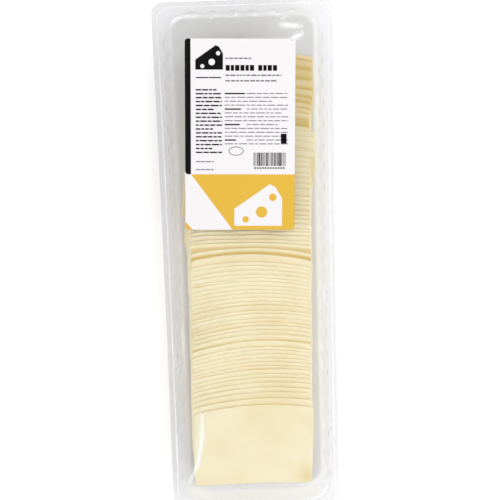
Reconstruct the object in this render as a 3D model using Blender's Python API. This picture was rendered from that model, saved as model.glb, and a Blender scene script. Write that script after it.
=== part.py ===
"""Pack of sliced cheese: a clear thermoformed tray, its lid film, a label and a fan of slices.

The pack lies on its tray floor.  X runs across it, Y along it towards the labelled end, Z up.
The origin is the middle of the tray floor's underside.  Lengths are in metres.
"""
import bpy
import bmesh
import numpy as np

# ---- Tray: driving dimensions ------------------------------------------------------------
PACK_LENGTH = 0.422
PACK_WIDTH = 0.1415          # at mid length, before the film draws the sides in
END_TAPER = 0.0015           # each side is this much further out at the labelled end, and in at the other
SIDE_WAIST = 0.0010          # each long side is drawn in by this much at mid length
RIM_HEIGHT = 0.036           # top of the flange above the surface the pack lies on
WALL = 0.0006                # thickness of the formed sheet
FLANGE = 0.0098              # width of the flange, outer edge to mouth
LIP_RADIUS = 0.009           # outer corners of the flange
MOUTH_RADIUS = 0.014         # corners of the cavity at its mouth
FLOOR_RADIUS = 0.012         # corners of the cavity at its floor
DRAFT = 0.0020               # how far the walls lean in from mouth to floor
FLOOR_FILLET = 0.0012        # bevel between wall and floor
MOUTH_FILLET = 0.0012        # bevel between flange and wall
SEAL_LINE = 0.0040           # seal groove, in from the outer edge
SEAL_WIDTH = 0.0012
SEAL_DEPTH = 0.0003
FLUTE_PITCH = 0.0168         # upright flutes in the walls
FLUTE_DEPTH = 0.0020
FLUTE_SAMPLES = 4            # points for each flute
CORNER_SAMPLES = 6           # segments for each corner

# ---- Lid film and label ------------------------------------------------------------------
GAP = 0.0003                 # clearance between touching pieces
FILM_THICKNESS = 0.0003
FILM_INSET = 0.0003
FILM_SIDE_SAMPLES = 12
LABEL_THICKNESS = 0.0002
LABEL_SIZE = (0.0881, 0.1534)
LABEL_CENTRE = (-0.0046, 0.1041)
LABEL_TURN = np.radians(-1.8)
LABEL_RADIUS = 0.0025

# ---- Cheese slices -----------------------------------------------------------------------
SLICE_WIDTH = 0.100          # across the pack
SLICE_LENGTH = 0.078         # along the pack
SLICE_THICKNESS = 0.00144
FIRST_EDGE = 0.1690          # upper edge of the first slice
# How far each slice's upper edge lies below the one before, in millimetres.
STEPS = (4.6, 7.8, 8.4, 7.6, 6.0, 4.9, 4.1, 4.3, 4.5, 6.1, 4.2, 4.5, 4.1, 6.0, 1.7, 4.8, 4.0, 4.2, 5.2, 3.1,
         4.8, 4.6, 6.4, 3.6, 3.4, 4.5, 3.4, 2.7, 3.4, 4.4, 2.4, 3.2, 3.6, 2.9, 4.2, 5.3, 6.6, 3.0, 3.8, 3.5,
         3.3, 2.5, 3.5, 3.2, 2.9, 3.3, 3.6, 2.9, 4.5, 2.8, 3.5, 3.5, 3.1, 3.3, 3.8, 5.5, 5.4, 2.7, 3.4, 3.3,
         3.2, 3.2, 2.9, 4.1, 3.0, 3.9, 4.2, 3.8, 5.3, 5.5)
SLICE_COUNT = len(STEPS) + 1
LAST_SLOPE = 0.29            # radians; the last slices lie flatter than the rest
FLATTEN_COUNT = 9            # the number of slices that flatten out towards the last one
FAN_BOTTOM = WALL + GAP      # the fan lies on the tray floor
# Along the fan, in millimetres: place, how far an edge's ends fall back, how much further forward its right
# end lies, and where the edge's middle lies across the pack.
FAN_BOW = ((170.0, 6.0, 0.3, 5.4), (150.0, 6.0, 0.3, 5.2), (132.0, 5.5, 0.3, 4.4), (118.0, 5.0, 0.2, 2.8),
           (107.0, 4.6, 0.0, 2.8), (85.0, 3.8, 0.0, 3.0), (66.0, 3.0, 0.0, 3.0), (50.0, 1.8, -0.5, 2.2),
           (28.0, 2.4, -1.6, 1.7), (11.0, 2.4, -2.1, 1.3), (6.3, 6.0, -2.0, 1.2), (-3.0, 5.2, -1.2, 0.9),
           (-20.0, 6.3, 0.0, 0.3), (-45.0, 7.3, 2.2, 0.3), (-63.0, 7.8, 2.6, -0.2), (-76.0, 6.9, 2.8, -0.7),
           (-93.0, 5.7, 3.4, -1.2), (-109.0, 5.8, 3.2, -1.6), (-120.0, 6.1, 2.0, -1.0))
SHIFTED = (11, 15)           # these slices lie further over
SHIFT = 0.0034
COLUMNS = 7                  # points across the fan


def smooth_step(value, low, high):
    """Rise from 0 to 1 between low and high with level ends: 3t^2 - 2t^3."""
    t = np.clip((value - low) / (high - low), 0.0, 1.0)
    return t * t * (3.0 - 2.0 * t)


def clear_objects():
    """Remove whatever the file holds before the model is made."""
    for item in list(bpy.data.objects):
        bpy.data.objects.remove(item, do_unlink=True)


def make_material(name, colour, roughness, transmission=0.0, ior=1.45):
    """One Principled material with a plain colour."""
    material = bpy.data.materials.new(name)
    material.use_nodes = True
    shader = material.node_tree.nodes["Principled BSDF"]
    shader.inputs["Base Color"].default_value = (*colour, 1.0)
    shader.inputs["Metallic"].default_value = 0.0
    shader.inputs["Roughness"].default_value = roughness
    shader.inputs["Transmission Weight"].default_value = transmission
    shader.inputs["IOR"].default_value = ior
    return material


def add_object(name, points, faces, material):
    """Make one closed mesh object and turn all its faces outwards."""
    mesh = bpy.data.meshes.new(name)
    mesh.from_pydata([tuple(point) for point in points], [], faces)
    work = bmesh.new()
    work.from_mesh(mesh)
    bmesh.ops.triangulate(work, faces=work.faces[:])
    bmesh.ops.recalc_face_normals(work, faces=work.faces[:])
    work.to_mesh(mesh)
    work.free()
    mesh.materials.append(material)
    item = bpy.data.objects.new(name, mesh)
    bpy.context.scene.collection.objects.link(item)
    return item


def draw_in(points):
    """Move the long sides in: a taper along the pack, and a parabola that is deepest at mid length."""
    along = points[:, 1] / (PACK_LENGTH / 2.0)
    side = END_TAPER * along - SIDE_WAIST * (1.0 - along ** 2)
    points[:, 0] *= 1.0 + side / (PACK_WIDTH / 2.0)
    return points


def rounded_outline(half_width, half_length, radius, long_segments, short_segments, corner_segments):
    """Counter-clockwise rounded rectangle, with each point's outward normal and its place along its side.

    The place is 0 to 1 on a straight side, and 0 on a corner.
    """
    points = []
    normals = []
    places = []
    sides = (
        ((half_width, -1), (half_width, 1), (1, 0), long_segments),
        ((1, half_length), (-1, half_length), (0, 1), short_segments),
        ((-half_width, 1), (-half_width, -1), (-1, 0), long_segments),
        ((-1, -half_length), (1, -half_length), (0, -1), short_segments),
    )
    straight_x = half_width - radius
    straight_y = half_length - radius
    for index, (start, end, normal, segments) in enumerate(sides):
        along_y = normal[0] != 0
        for step in range(segments):
            place = step / segments
            if along_y:
                point = (start[0], (start[1] + (end[1] - start[1]) * place) * straight_y)
            else:
                point = ((start[0] + (end[0] - start[0]) * place) * straight_x, start[1])
            points.append(point)
            normals.append(normal)
            places.append(place)
        centre = (straight_x * (1, -1, -1, 1)[index], straight_y * (1, 1, -1, -1)[index])
        for step in range(corner_segments):
            angle = (index + step / corner_segments) * np.pi / 2.0
            direction = (np.cos(angle), np.sin(angle))
            points.append((centre[0] + radius * direction[0], centre[1] + radius * direction[1]))
            normals.append(direction)
            places.append(0.0)
    return np.array(points), np.array(normals), np.array(places)


def tray_ring(inset, height, radius, flute, counts):
    """One closed ring of the tray: the outline, pushed out by the flutes' cosine wave."""
    half_width = PACK_WIDTH / 2.0 - inset
    half_length = PACK_LENGTH / 2.0 - inset
    long_flutes, short_flutes = counts
    points, normals, places = rounded_outline(
        half_width, half_length, radius,
        long_flutes * FLUTE_SAMPLES, short_flutes * FLUTE_SAMPLES, CORNER_SAMPLES)
    flutes = np.where(np.abs(normals[:, 0]) > 0.5, long_flutes, short_flutes)
    wave = 0.5 * (1.0 - np.cos(2.0 * np.pi * flutes * places))
    points = draw_in(points + normals * (flute * wave)[:, None])
    return np.column_stack([points, np.full(len(points), height)])


def flute_counts():
    """How many flutes fit a long side and a short side."""
    corner = 2.0 * (FLANGE + MOUTH_RADIUS)
    return round((PACK_LENGTH - corner) / FLUTE_PITCH), round((PACK_WIDTH - corner) / FLUTE_PITCH)


def tray_profile():
    """Rings from the floor's upper face, over the flange and back under the floor.

    Each ring is an inset from the outer edge, a height, a corner radius and a share of the flutes' depth.
    """
    wall_foot = FLANGE + DRAFT
    upper = [
        (wall_foot + FLOOR_FILLET, WALL, FLOOR_RADIUS - FLOOR_FILLET, 0.0),
        (wall_foot, WALL + FLOOR_FILLET, FLOOR_RADIUS, 0.6),
        (FLANGE + MOUTH_FILLET / 2.0, RIM_HEIGHT - MOUTH_FILLET, MOUTH_RADIUS, 1.0),
        (FLANGE - MOUTH_FILLET / 2.0, RIM_HEIGHT, MOUTH_RADIUS, 1.0),
        (SEAL_LINE + SEAL_WIDTH, RIM_HEIGHT, LIP_RADIUS, 0.0),
        (SEAL_LINE + SEAL_WIDTH / 2.0, RIM_HEIGHT - SEAL_DEPTH, LIP_RADIUS, 0.0),
        (SEAL_LINE, RIM_HEIGHT, LIP_RADIUS, 0.0),
        (0.0, RIM_HEIGHT, LIP_RADIUS, 0.0),
    ]
    under = [
        (0.0, RIM_HEIGHT - WALL, LIP_RADIUS, 0.0),
        (FLANGE - MOUTH_FILLET / 2.0 - WALL, RIM_HEIGHT - WALL, MOUTH_RADIUS, 1.0),
        (FLANGE + MOUTH_FILLET / 2.0 - WALL, RIM_HEIGHT - MOUTH_FILLET - WALL / 2.0, MOUTH_RADIUS, 1.0),
        (wall_foot - WALL, WALL / 2.0 + FLOOR_FILLET, FLOOR_RADIUS, 0.6),
        (wall_foot + FLOOR_FILLET - WALL / 2.0, 0.0, FLOOR_RADIUS - FLOOR_FILLET, 0.0),
    ]
    return upper + under


def make_tray():
    """The formed tray: rings joined by bands of faces, closed by the floor's two faces."""
    counts = flute_counts()
    rings = [tray_ring(inset, height, radius, share * FLUTE_DEPTH, counts)
             for inset, height, radius, share in tray_profile()]
    size = len(rings[0])
    faces = [list(range(size)), [(len(rings) - 1) * size + k for k in range(size)]]
    for ring in range(len(rings) - 1):
        low = ring * size
        for k in range(size):
            after = (k + 1) % size
            faces.append([low + k, low + after, low + size + after, low + size + k])
    material = make_material("clear_polyester_sheet", (0.86, 0.87, 0.88), 0.08, 0.9, 1.57)
    return add_object("tray", np.vstack(rings), faces, material)


def flat_sheet(name, outline, height, thickness, material):
    """A thin flat sheet with the given outline."""
    size = len(outline)
    low = np.column_stack([outline, np.full(size, height)])
    high = np.column_stack([outline, np.full(size, height + thickness)])
    faces = [list(range(size)), [size + k for k in range(size)]]
    for k in range(size):
        after = (k + 1) % size
        faces.append([k, after, size + after, size + k])
    return add_object(name, np.vstack([low, high]), faces, material)


def make_lid_film():
    """The film sealed over the tray's flange."""
    outline, _, _ = rounded_outline(
        PACK_WIDTH / 2.0 - FILM_INSET, PACK_LENGTH / 2.0 - FILM_INSET, LIP_RADIUS,
        FILM_SIDE_SAMPLES, 1, CORNER_SAMPLES)
    material = make_material("clear_lid_film", (0.95, 0.95, 0.96), 0.05, 0.95, 1.5)
    return flat_sheet("lid_film", draw_in(outline), RIM_HEIGHT + GAP, FILM_THICKNESS, material)


def make_label():
    """The paper label stuck on the film, turned a little on the pack."""
    outline, _, _ = rounded_outline(
        LABEL_SIZE[0] / 2.0, LABEL_SIZE[1] / 2.0, LABEL_RADIUS, 1, 1, CORNER_SAMPLES)
    cosine = np.cos(LABEL_TURN)
    sine = np.sin(LABEL_TURN)
    turned = outline @ np.array([[cosine, sine], [-sine, cosine]]) + np.array(LABEL_CENTRE)
    height = RIM_HEIGHT + 2.0 * GAP + FILM_THICKNESS
    material = make_material("coated_label_paper", (0.88, 0.88, 0.90), 0.4)
    return flat_sheet("label", turned, height, LABEL_THICKNESS, material)


def slice_edges():
    """Where each slice's upper edge lies along the pack."""
    return FIRST_EDGE - np.concatenate([[0.0], np.cumsum(STEPS)]) * 0.001


def fan_slices():
    """Upper edge, its height, and slope of each slice in the fan.

    A slice's lower edge lies on the floor and its upper edge stands on all the slices that reach under it,
    so the fan climbs from flat to a slope whose sine is thickness over step.
    """
    edges = slice_edges()
    index = np.arange(SLICE_COUNT)
    slopes = np.zeros(SLICE_COUNT)
    for _ in range(6):
        first_under = np.interp(-(edges + SLICE_LENGTH * np.cos(slopes)), -edges, index)
        heights = (index - first_under) * SLICE_THICKNESS / np.cos(slopes)
        slopes = np.arcsin(heights / SLICE_LENGTH)
    share = smooth_step(index, SLICE_COUNT - 1 - FLATTEN_COUNT, SLICE_COUNT - 1)
    slopes = slopes + (LAST_SLOPE - slopes) * share
    return edges, heights, slopes


def fan_contour():
    """The fan's stepped upper outline: for each slice its upper corner, then where the next one covers it."""
    edges, heights, slopes = fan_slices()
    along = []
    up = []
    owner = []
    for k in range(SLICE_COUNT):
        corner_y = edges[k] - SLICE_THICKNESS * np.sin(slopes[k])
        corner_z = heights[k] + SLICE_THICKNESS * np.cos(slopes[k])
        run = SLICE_LENGTH * np.cos(slopes[k])
        if k + 1 < SLICE_COUNT:
            run = corner_y - edges[k + 1]
        along += [corner_y, corner_y - run]
        up += [corner_z, corner_z - run * np.tan(slopes[k])]
        owner += [k, k]
    return np.array(along), np.array(up) + FAN_BOTTOM, np.array(owner)


def fan_bow(edges):
    """Each edge's sag, tilt and middle, read between the places given along the fan."""
    table = np.array(FAN_BOW) * 0.001
    sag, tilt, middle = (np.interp(-edges, -table[:, 0], table[:, k]) for k in (1, 2, 3))
    index = np.arange(SLICE_COUNT)
    return sag, tilt, middle + SHIFT * ((index >= SHIFTED[0]) & (index <= SHIFTED[1]))


def make_cheese_slices():
    """The fan as one stepped solid: its contour is carried across the pack, with curved slice edges."""
    along, up, owner = fan_contour()
    sag, tilt, middle = (values[owner] for values in fan_bow(slice_edges()))
    across = np.linspace(-1.0, 1.0, COLUMNS)
    arc = -sag[:, None] * across[None, :] ** 2 + tilt[:, None] * across[None, :]
    last = len(along) - 1
    arc[last] *= 0.12
    x = middle[:, None] + across[None, :] * SLICE_WIDTH / 2.0
    y = along[:, None] + arc
    z = np.repeat(up[:, None], COLUMNS, axis=1)
    rows = len(along)
    top = np.stack([x, y, z], axis=2).reshape(-1, 3)
    bottom = top.copy()
    bottom[:, 2] = FAN_BOTTOM
    shift = rows * COLUMNS
    faces = []
    for r in range(rows - 1):
        for c in range(COLUMNS - 1):
            corner = r * COLUMNS + c
            faces.append([corner, corner + 1, corner + COLUMNS + 1, corner + COLUMNS])
        for c in (0, COLUMNS - 1):
            corner = r * COLUMNS + c
            faces.append([corner, corner + COLUMNS, shift + corner + COLUMNS, shift + corner])
    for r in (0, rows - 1):
        for c in range(COLUMNS - 1):
            corner = r * COLUMNS + c
            faces.append([corner, corner + 1, shift + corner + 1, shift + corner])
    left = [shift + r * COLUMNS for r in range(rows)]
    right = [shift + r * COLUMNS + COLUMNS - 1 for r in range(rows)]
    first_end = [shift + c for c in range(COLUMNS)]
    last_end = [shift + (rows - 1) * COLUMNS + c for c in range(COLUMNS)]
    faces.append(first_end + [right[1], left[1]])
    for r in range(1, rows - 2):
        faces.append([left[r], right[r], right[r + 1], left[r + 1]])
    faces.append([left[rows - 2], right[rows - 2]] + last_end[::-1])
    used = sorted({k for face in faces for k in face})
    renumber = {old: new for new, old in enumerate(used)}
    points = np.vstack([top, bottom])[used]
    faces = [[renumber[k] for k in face] for face in faces]
    material = make_material("semi_hard_cheese", (0.91, 0.82, 0.60), 0.45)
    return add_object("cheese_slices", points, faces, material)


def main():
    """Build the four pieces of the pack."""
    clear_objects()
    make_tray()
    make_lid_film()
    make_label()
    make_cheese_slices()


main()
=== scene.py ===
"""A pack of sliced cheese: fanned slices in a clear fluted tray under a lid film with a paper label.

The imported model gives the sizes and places.  X runs across the pack, Y along it towards the labelled
end and Z up, in metres.  Every new piece is a surface worked out with numpy and put into a mesh whole.
"""

import bmesh
import bpy
import numpy as np
from bpy.props import FloatProperty, FloatVectorProperty, PointerProperty
from mathutils import Matrix, Vector


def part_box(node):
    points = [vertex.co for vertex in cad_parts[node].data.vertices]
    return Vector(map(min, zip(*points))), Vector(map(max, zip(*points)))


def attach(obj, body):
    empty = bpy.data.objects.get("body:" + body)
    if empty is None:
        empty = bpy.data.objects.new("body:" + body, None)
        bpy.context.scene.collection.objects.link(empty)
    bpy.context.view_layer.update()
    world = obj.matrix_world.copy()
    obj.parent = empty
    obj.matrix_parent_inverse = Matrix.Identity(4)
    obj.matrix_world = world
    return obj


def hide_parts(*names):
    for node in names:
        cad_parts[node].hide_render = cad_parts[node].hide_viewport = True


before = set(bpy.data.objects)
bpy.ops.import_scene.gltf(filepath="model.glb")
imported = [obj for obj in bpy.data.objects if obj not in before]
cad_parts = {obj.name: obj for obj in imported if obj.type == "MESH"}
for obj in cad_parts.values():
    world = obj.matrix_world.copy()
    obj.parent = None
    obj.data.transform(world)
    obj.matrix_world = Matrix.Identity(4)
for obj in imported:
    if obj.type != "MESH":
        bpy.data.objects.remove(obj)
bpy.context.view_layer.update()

bl_info = {
    "name": "Sliced Cheese Pack",
    "version": (1, 0, 0),
    "blender": (4, 5, 0),
    "location": "3D View > Sidebar > Cheese Pack",
    "description": "Builds a clear fluted tray with lid film, paper label and a fan of cheese slices",
    "category": "Add Mesh",
}

MM = 0.001

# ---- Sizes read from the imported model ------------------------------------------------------
TRAY_LOW, TRAY_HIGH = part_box("tray")
PACK_LENGTH = TRAY_HIGH[1] - TRAY_LOW[1]
RIM_HEIGHT = TRAY_HIGH[2]

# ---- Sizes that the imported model's shape follows --------------------------------------------
PACK_WIDTH = 141.5 * MM      # at mid length, before the film draws the sides in
END_TAPER = 1.5 * MM         # each side is this much further out at the labelled end
SIDE_WAIST = 1.0 * MM        # each long side is drawn in by this much at mid length
FLANGE = 9.8 * MM
LIP_RADIUS = 9.0 * MM
MOUTH_RADIUS = 14.0 * MM
FLOOR_RADIUS = 12.0 * MM
DRAFT = 2.0 * MM
LABEL_SIZE = (88.1 * MM, 153.4 * MM)
LABEL_CENTRE = (-4.6 * MM, 104.1 * MM)
LABEL_TURN = np.radians(-1.8)
LABEL_RADIUS = 2.5 * MM


def linear(code):
    """Turn an sRGB hex colour into linear red, green and blue."""
    channels = np.array([int(code[k:k + 2], 16) for k in (1, 3, 5)]) / 255.0
    low = channels / 12.92
    high = ((channels + 0.055) / 1.055) ** 2.4
    return tuple(float(value) for value in np.where(channels <= 0.04045, low, high))


def smooth_step(value, low, high):
    """Rise from 0 to 1 between low and high with level ends: 3t^2 - 2t^3."""
    t = np.clip((value - low) / (high - low), 0.0, 1.0)
    return t * t * (3.0 - 2.0 * t)


def colour_property(name, code, description):
    """A colour setting whose default is an sRGB hex value."""
    return FloatVectorProperty(name=name, description=description, subtype="COLOR", size=3,
                               min=0.0, max=1.0, default=linear(code))


def length_property(name, millimetres, description):
    """A length setting whose default is given in millimetres."""
    return FloatProperty(name=name, description=description, subtype="DISTANCE", unit="LENGTH",
                         min=0.0, precision=5, default=millimetres * MM)


# ---- Settings -------------------------------------------------------------------------------
class TraySettings(bpy.types.PropertyGroup):
    """The formed tray."""
    wall: length_property("Wall", 0.6, "Thickness of the formed sheet")
    flute_pitch: length_property("Flute pitch", 16.8, "Distance between upright flutes in the walls")
    flute_depth: length_property("Flute depth", 1.7, "How far each flute bulges out")
    colour: colour_property("Sheet colour", "#F0F0F1", "Tint of light that passes each face")


class FilmSettings(bpy.types.PropertyGroup):
    """The lid film."""
    thickness: length_property("Film thickness", 0.2, "Thickness of the lid film, drawn thicker than real")
    bead_height: length_property("Bead height", 0.35, "How far the sealed bead stands up")
    colour: colour_property("Film colour", "#FEFEFE", "Tint of light that passes each face")


class LabelSettings(bpy.types.PropertyGroup):
    """The paper label and its print."""
    paper: colour_property("Paper", "#D4D1D3", "Coated label paper")
    ink: colour_property("Black ink", "#020202", "Solid black print")
    text: colour_property("Text ink", "#6E6A70", "Fine print, seen from afar")
    gold: colour_property("Gold ink", "#C8A13B", "Gold print field")


class SliceSettings(bpy.types.PropertyGroup):
    """The fan of cheese slices."""
    width: length_property("Slice width", 100.0, "Across the pack")
    length: length_property("Slice length", 78.0, "Along the pack")
    thickness: length_property("Slice thickness", 1.44, "From a slice's weight and area")
    light: colour_property("Cheese, fresh cut", "#FEF3D2", "Colour of a slice's open face")
    # The groove colour is painted shade: a deeper gold that stands for the shade between slices.
    deep: colour_property("Cheese, in a groove", "#DCBC50", "Colour where a slice is seen deep in a groove")


class StageSettings(bpy.types.PropertyGroup):
    """The floor."""
    floor: colour_property("Floor", "#FDFDFD", "Plain pale floor")


def settings(name):
    """This scene's settings for one group of pieces."""
    return getattr(bpy.context.scene, name)


# ---- Mesh and material helpers --------------------------------------------------------------
def make_mesh(name, points, quads, material, attributes=None, smooth=True):
    """Put whole arrays of points and four-sided faces into a new object at the origin."""
    points = np.asarray(points, dtype=np.float32)
    quads = np.asarray(quads, dtype=np.int32)
    mesh = bpy.data.meshes.new(name)
    mesh.vertices.add(len(points))
    mesh.vertices.foreach_set("co", points.ravel())
    mesh.loops.add(quads.size)
    mesh.loops.foreach_set("vertex_index", quads.ravel())
    mesh.polygons.add(len(quads))
    mesh.polygons.foreach_set("loop_start", np.arange(len(quads), dtype=np.int32) * quads.shape[1])
    mesh.polygons.foreach_set("use_smooth", np.full(len(quads), smooth))
    for key, values in (attributes or {}).items():
        layer = mesh.attributes.new(key, "FLOAT", "POINT")
        layer.data.foreach_set("value", np.asarray(values, dtype=np.float32).ravel())
    mesh.materials.append(material)
    mesh.update(calc_edges=True)
    mesh.validate()
    item = bpy.data.objects.new(name, mesh)
    bpy.context.scene.collection.objects.link(item)
    return item


def band_quads(rings, size):
    """Faces between closed rings of equal size, laid one after another."""
    ring = np.arange(rings - 1)[:, None] * size
    here = np.arange(size)[None, :]
    after = (here + 1) % size
    return np.stack([ring + here, ring + after, ring + size + after, ring + size + here], -1).reshape(-1, 4)


def sheet_quads(rows, columns):
    """Faces of an open grid of points."""
    row = np.arange(rows - 1)[:, None] * columns
    here = np.arange(columns - 1)[None, :]
    return np.stack([row + here, row + here + 1, row + columns + here + 1, row + columns + here],
                    -1).reshape(-1, 4)


def add_node(tree, kind, links=None, **values):
    """Add a shader node; a value names an input or a property, and a link is another node's output."""
    node = tree.nodes.new(kind)
    for key, value in values.items():
        title = key.replace("_", " ")
        if hasattr(node, key):
            setattr(node, key, value)
        elif title in node.inputs:
            node.inputs[title].default_value = value
    for key, source in (links or {}).items():
        tree.links.new(source, node.inputs[key])
    return node


def multiply_add(tree, source, factor, offset, clamp=True):
    """The output of source times a factor plus an offset, held between 0 and 1 unless clamp is off."""
    node = add_node(tree, "ShaderNodeMath", operation="MULTIPLY_ADD", use_clamp=clamp, links={0: source})
    node.inputs[1].default_value = factor
    node.inputs[2].default_value = offset
    return node.outputs[0]


def mix_colours(tree, share, first, second):
    """The colour output of a mix that is the first colour at share 0 and the second at share 1."""
    node = add_node(tree, "ShaderNodeMix", data_type="RGBA", links={0: share})
    node.inputs[6].default_value = (*first, 1.0)
    node.inputs[7].default_value = (*second, 1.0)
    return node.outputs[2]


def new_material(name):
    """An empty node material and its tree with an output node."""
    material = bpy.data.materials.new(name)
    material.use_nodes = True
    tree = material.node_tree
    tree.nodes.clear()
    output = tree.nodes.new("ShaderNodeOutputMaterial")
    return material, tree, output


def close_up(item, distance=1e-6):
    """Merge the points that meet at seams and centre lines, and turn the surface's faces outwards."""
    work = bmesh.new()
    work.from_mesh(item.data)
    bmesh.ops.remove_doubles(work, verts=work.verts[:], dist=distance)
    bmesh.ops.recalc_face_normals(work, faces=work.faces[:])
    work.to_mesh(item.data)
    work.free()


def place_piece(item, node):
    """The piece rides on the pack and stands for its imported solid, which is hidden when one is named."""
    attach(item, "root")
    if node is not None:
        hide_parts(node)


# ---- Outlines -------------------------------------------------------------------------------
def outline_shares(long_steps, short_steps, corner_steps):
    """Points round a rounded rectangle, counter-clockwise, as shares that any size can use.

    Along a side the corner centre slides evenly from one corner to the next; at a corner the outward
    direction turns through a right angle.  Returns centre shares, directions and the place on a side.
    """
    corners = np.array([(1.0, -1.0), (1.0, 1.0), (-1.0, 1.0), (-1.0, -1.0)])
    centres = []
    angles = []
    places = []
    for k in range(4):
        steps = (long_steps, short_steps)[k % 2]
        place = np.arange(steps) / steps
        start = corners[k]
        end = corners[(k + 1) % 4]
        centres.append(start + (end - start) * place[:, None])
        angles.append(np.full(steps, k * np.pi / 2.0))
        places.append(place)
        centres.append(np.repeat(end[None, :], corner_steps, axis=0))
        angles.append((k + np.arange(corner_steps) / corner_steps) * np.pi / 2.0)
        places.append(np.zeros(corner_steps))
    angle = np.concatenate(angles)
    return np.vstack(centres), np.column_stack([np.cos(angle), np.sin(angle)]), np.concatenate(places)


def draw_in(x, y):
    """Move the long sides in: a taper along the pack, and a parabola that is deepest at mid length."""
    along = y / (PACK_LENGTH / 2.0)
    side = END_TAPER * along - SIDE_WAIST * (1.0 - along ** 2)
    return x * (1.0 + side / (PACK_WIDTH / 2.0))


def nested_rings(shares, inset, radius, push, height):
    """Rounded rectangles inside one another.

    A point is its centre share times (half size - inset - radius), plus the radius and the push outwards.
    """
    centres, directions, _ = shares
    inset, radius = inset[:, None], radius[:, None]
    half_x = PACK_WIDTH / 2.0 - inset - radius
    half_y = PACK_LENGTH / 2.0 - inset - radius
    x = centres[None, :, 0] * half_x + directions[None, :, 0] * (radius + push)
    y = centres[None, :, 1] * half_y + directions[None, :, 1] * (radius + push)
    z = np.broadcast_to(height[:, None], x.shape) if height.ndim == 1 else height
    return np.stack([draw_in(x, y), y, z], axis=-1)


def round_corner(before, corner, after, radius, steps):
    """Points of the arc that touches both legs of a corner: centre plus radius along turning directions."""
    first = (before - corner) / np.linalg.norm(before - corner)
    second = (after - corner) / np.linalg.norm(after - corner)
    half = np.arccos(np.clip(first @ second, -1.0, 1.0)) / 2.0
    bisector = (first + second) / np.linalg.norm(first + second)
    centre = corner + bisector * radius / np.sin(half)
    start = corner + first * radius / np.tan(half) - centre
    end = corner + second * radius / np.tan(half) - centre
    share = np.linspace(0.0, 1.0, steps)[:, None]
    arc = start * (1.0 - share) + end * share
    return centre + arc * (radius / np.linalg.norm(arc, axis=1))[:, None]


# ---- Tray -----------------------------------------------------------------------------------
FLUTE_STEPS = 16             # points for each flute
FLANGE_SLOPE_IN = 1.6 * MM   # the flutes fade in over this much of the flange, up to the mouth
FLOOR_FILLET = 3.2 * MM
MOUTH_FILLET = 1.3 * MM
SEAL_INSET = 4.0 * MM        # the seal groove's middle, in from the outer edge
SEAL_REACH = 0.55 * MM       # where the groove's bell curve has fallen to 1/e of its depth
SEAL_DEPTH = 0.25 * MM
STAND_OFF = 0.05 * MM        # air under the tray, so that its underside and the floor don't share a plane
FLUTE_FADE = 0.5 * MM        # the flutes fade out from where the wall leans this far out from its foot
FLOOR_FLUTE = 0.6            # how deep a flute is at the floor, against its depth at the mouth


def tray_path(wall):
    """The tray's inner section from the floor's middle to the lip: inset and height.

    Floor, an arc, the leaning wall, an arc, then the flange with its seal groove, a bell curve.
    """
    foot = np.array([FLANGE + DRAFT, wall])
    mouth = np.array([FLANGE, RIM_HEIGHT])
    middle = np.array([PACK_WIDTH / 2.0, wall])
    lip = np.array([0.0, RIM_HEIGHT])
    low = round_corner(middle, foot, mouth, FLOOR_FILLET, 8)
    high = round_corner(foot, mouth, lip, MOUTH_FILLET, 8)
    share = np.array([0.0, 0.2, 0.4, 0.55, 0.7, 0.82, 0.9, 0.95, 0.98, 0.995])[:, None]
    floor = middle * (1.0 - share) + low[0] * share
    climb = np.linspace(low[-1], high[0], 6)[1:-1]
    insets = np.concatenate([np.linspace(high[-1, 0], SEAL_INSET + 1.4 * MM, 6)[1:],
                             np.linspace(SEAL_INSET + 1.1 * MM, SEAL_INSET - 1.1 * MM, 10),
                             np.linspace(SEAL_INSET - 1.6 * MM, 0.25 * MM, 4)])
    groove = SEAL_DEPTH * np.exp(-((insets - SEAL_INSET) / SEAL_REACH) ** 2)
    flange = np.column_stack([insets, RIM_HEIGHT - groove])
    return np.vstack([floor, low, climb, high, flange])


def offset_path(path, distance):
    """The same path moved square to itself by a distance, towards the tray's outside."""
    run = np.gradient(path, axis=0)
    run /= np.linalg.norm(run, axis=1)[:, None]
    return path + np.column_stack([run[:, 1], -run[:, 0]]) * -distance


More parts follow.
